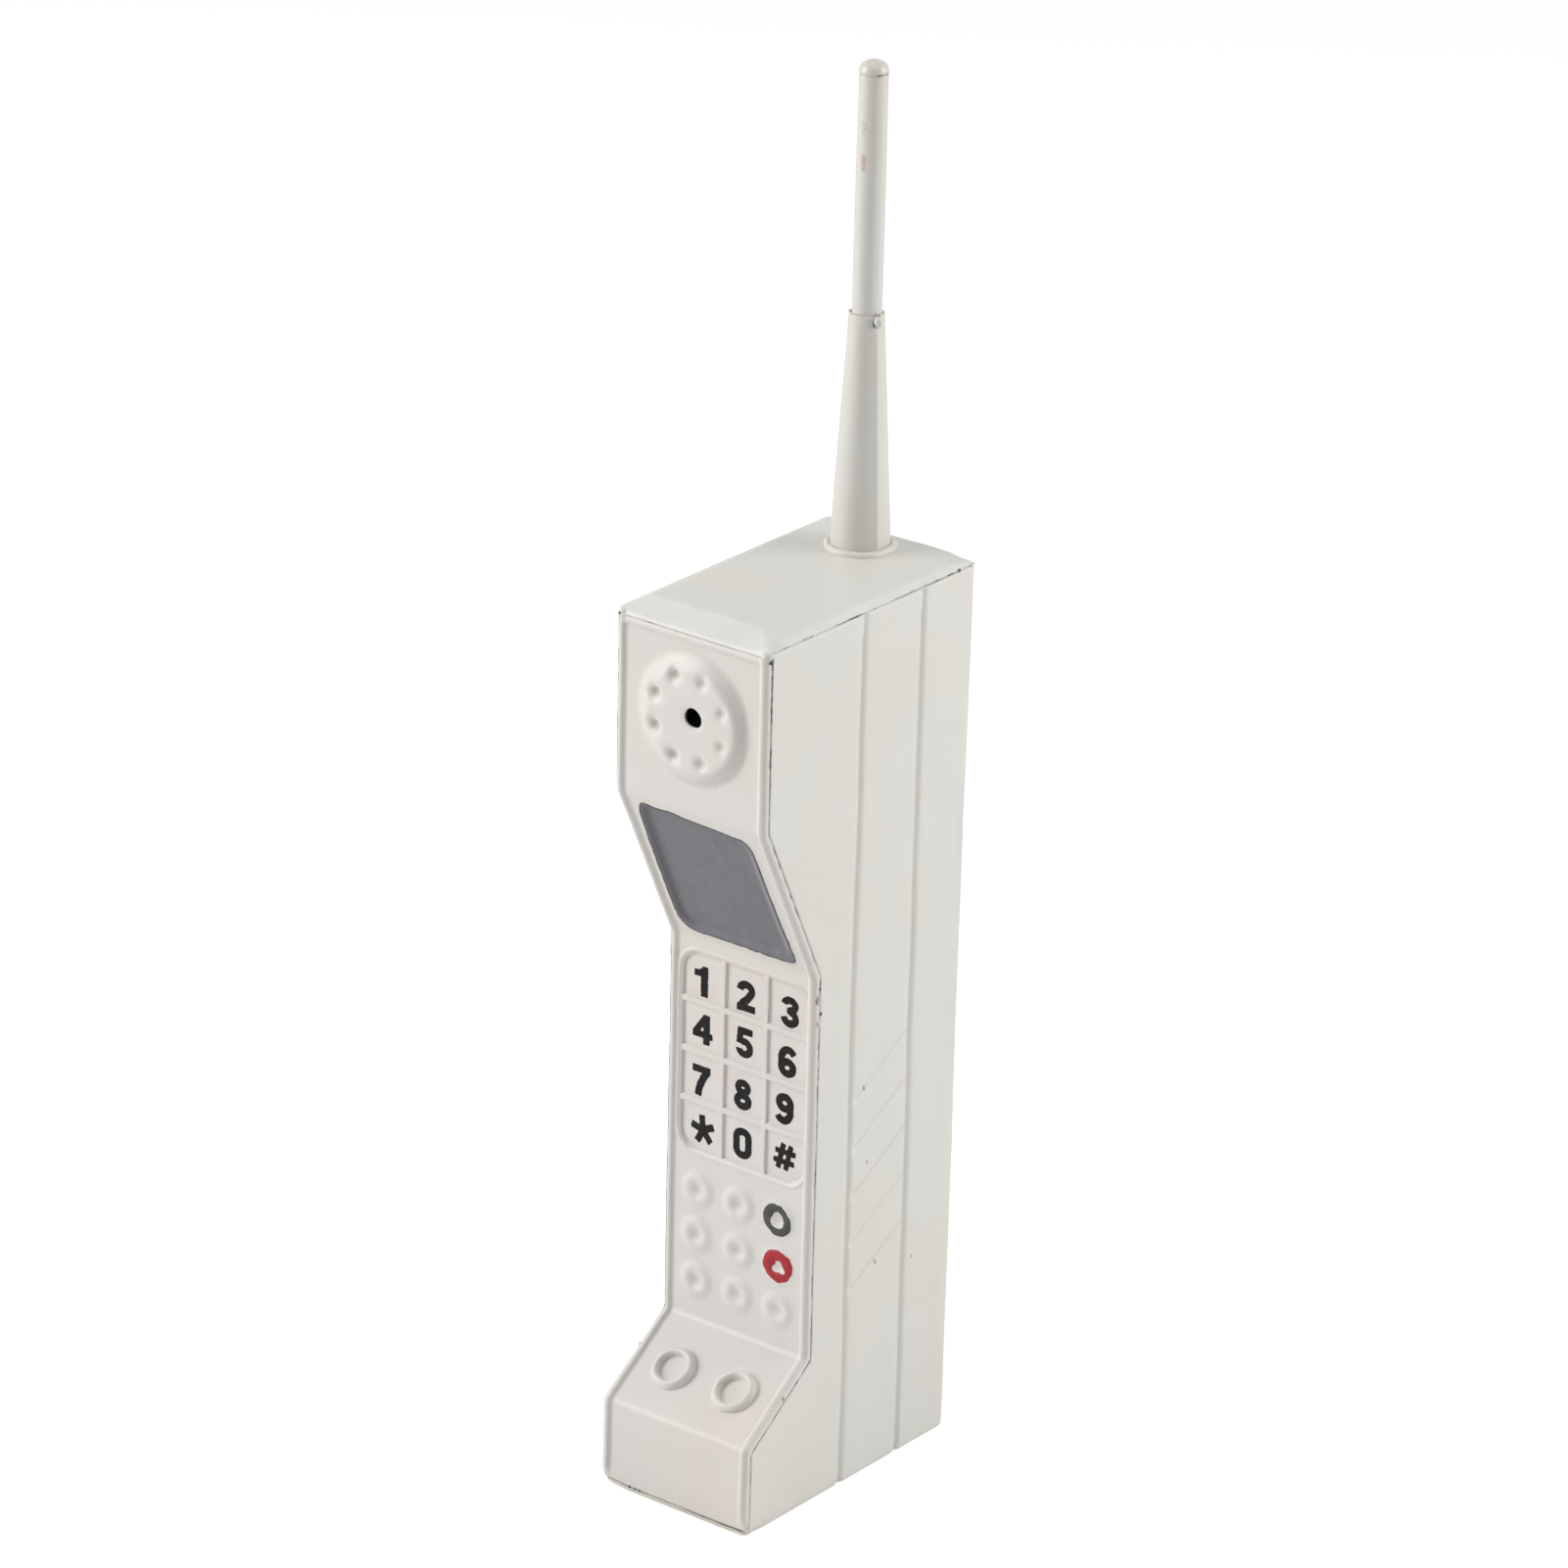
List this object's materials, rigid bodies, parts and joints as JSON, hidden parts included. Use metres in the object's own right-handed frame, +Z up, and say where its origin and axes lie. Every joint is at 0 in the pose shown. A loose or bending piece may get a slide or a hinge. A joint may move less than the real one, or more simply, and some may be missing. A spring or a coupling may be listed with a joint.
{
  "type": "toy mobile phone",
  "caption": "Brick-shaped ornamental mobile phone in painted pressed sheet iron, with embossed keys, a painted display and an aerial rod that slides into a tapered sleeve.",
  "frame": {"origin": "centre of the base's bounding box, on the surface it stands on", "axes": "+Z up along the aerial, -Y is the front with the earpiece, display and keypad, +X is to the right when looking at the front from behind the viewer"},
  "size_m": [0.0422, 0.0746, 0.325],
  "materials": {
    "cream_paint": "satin",
    "bare_solder": "satin",
    "bare_steel": "matte",
    "grey_paint": "satin",
    "black_ink": "matte",
    "green_paint": "satin",
    "red_paint": "satin"
  },
  "bodies": {
    "case": {"wrap_shell": "cream_paint", "front_panel": "cream_paint", "top_cap": "cream_paint", "bottom_plate": "cream_paint", "ring_boss_left": "cream_paint", "ring_boss_right": "cream_paint", "antenna_collar": "cream_paint", "antenna_sleeve": "cream_paint", "mouth_solder": "cream_paint", "seam_solder": "bare_solder", "sleeve_washer": "bare_steel", "screen_paint": "grey_paint", "key_numerals": "black_ink", "green_ring_paint": "green_paint", "red_ring_paint": "red_paint"},
    "aerial": {"antenna_rod": "cream_paint", "antenna_tip": "cream_paint", "rod_stop_ring": "bare_steel"}
  },
  "joints": [
    {"name": "antenna_slide", "type": "slide", "parent": "case", "child": "aerial", "axis": [0, 0, 1], "range_m": [-0.053, 0]}
  ]
}
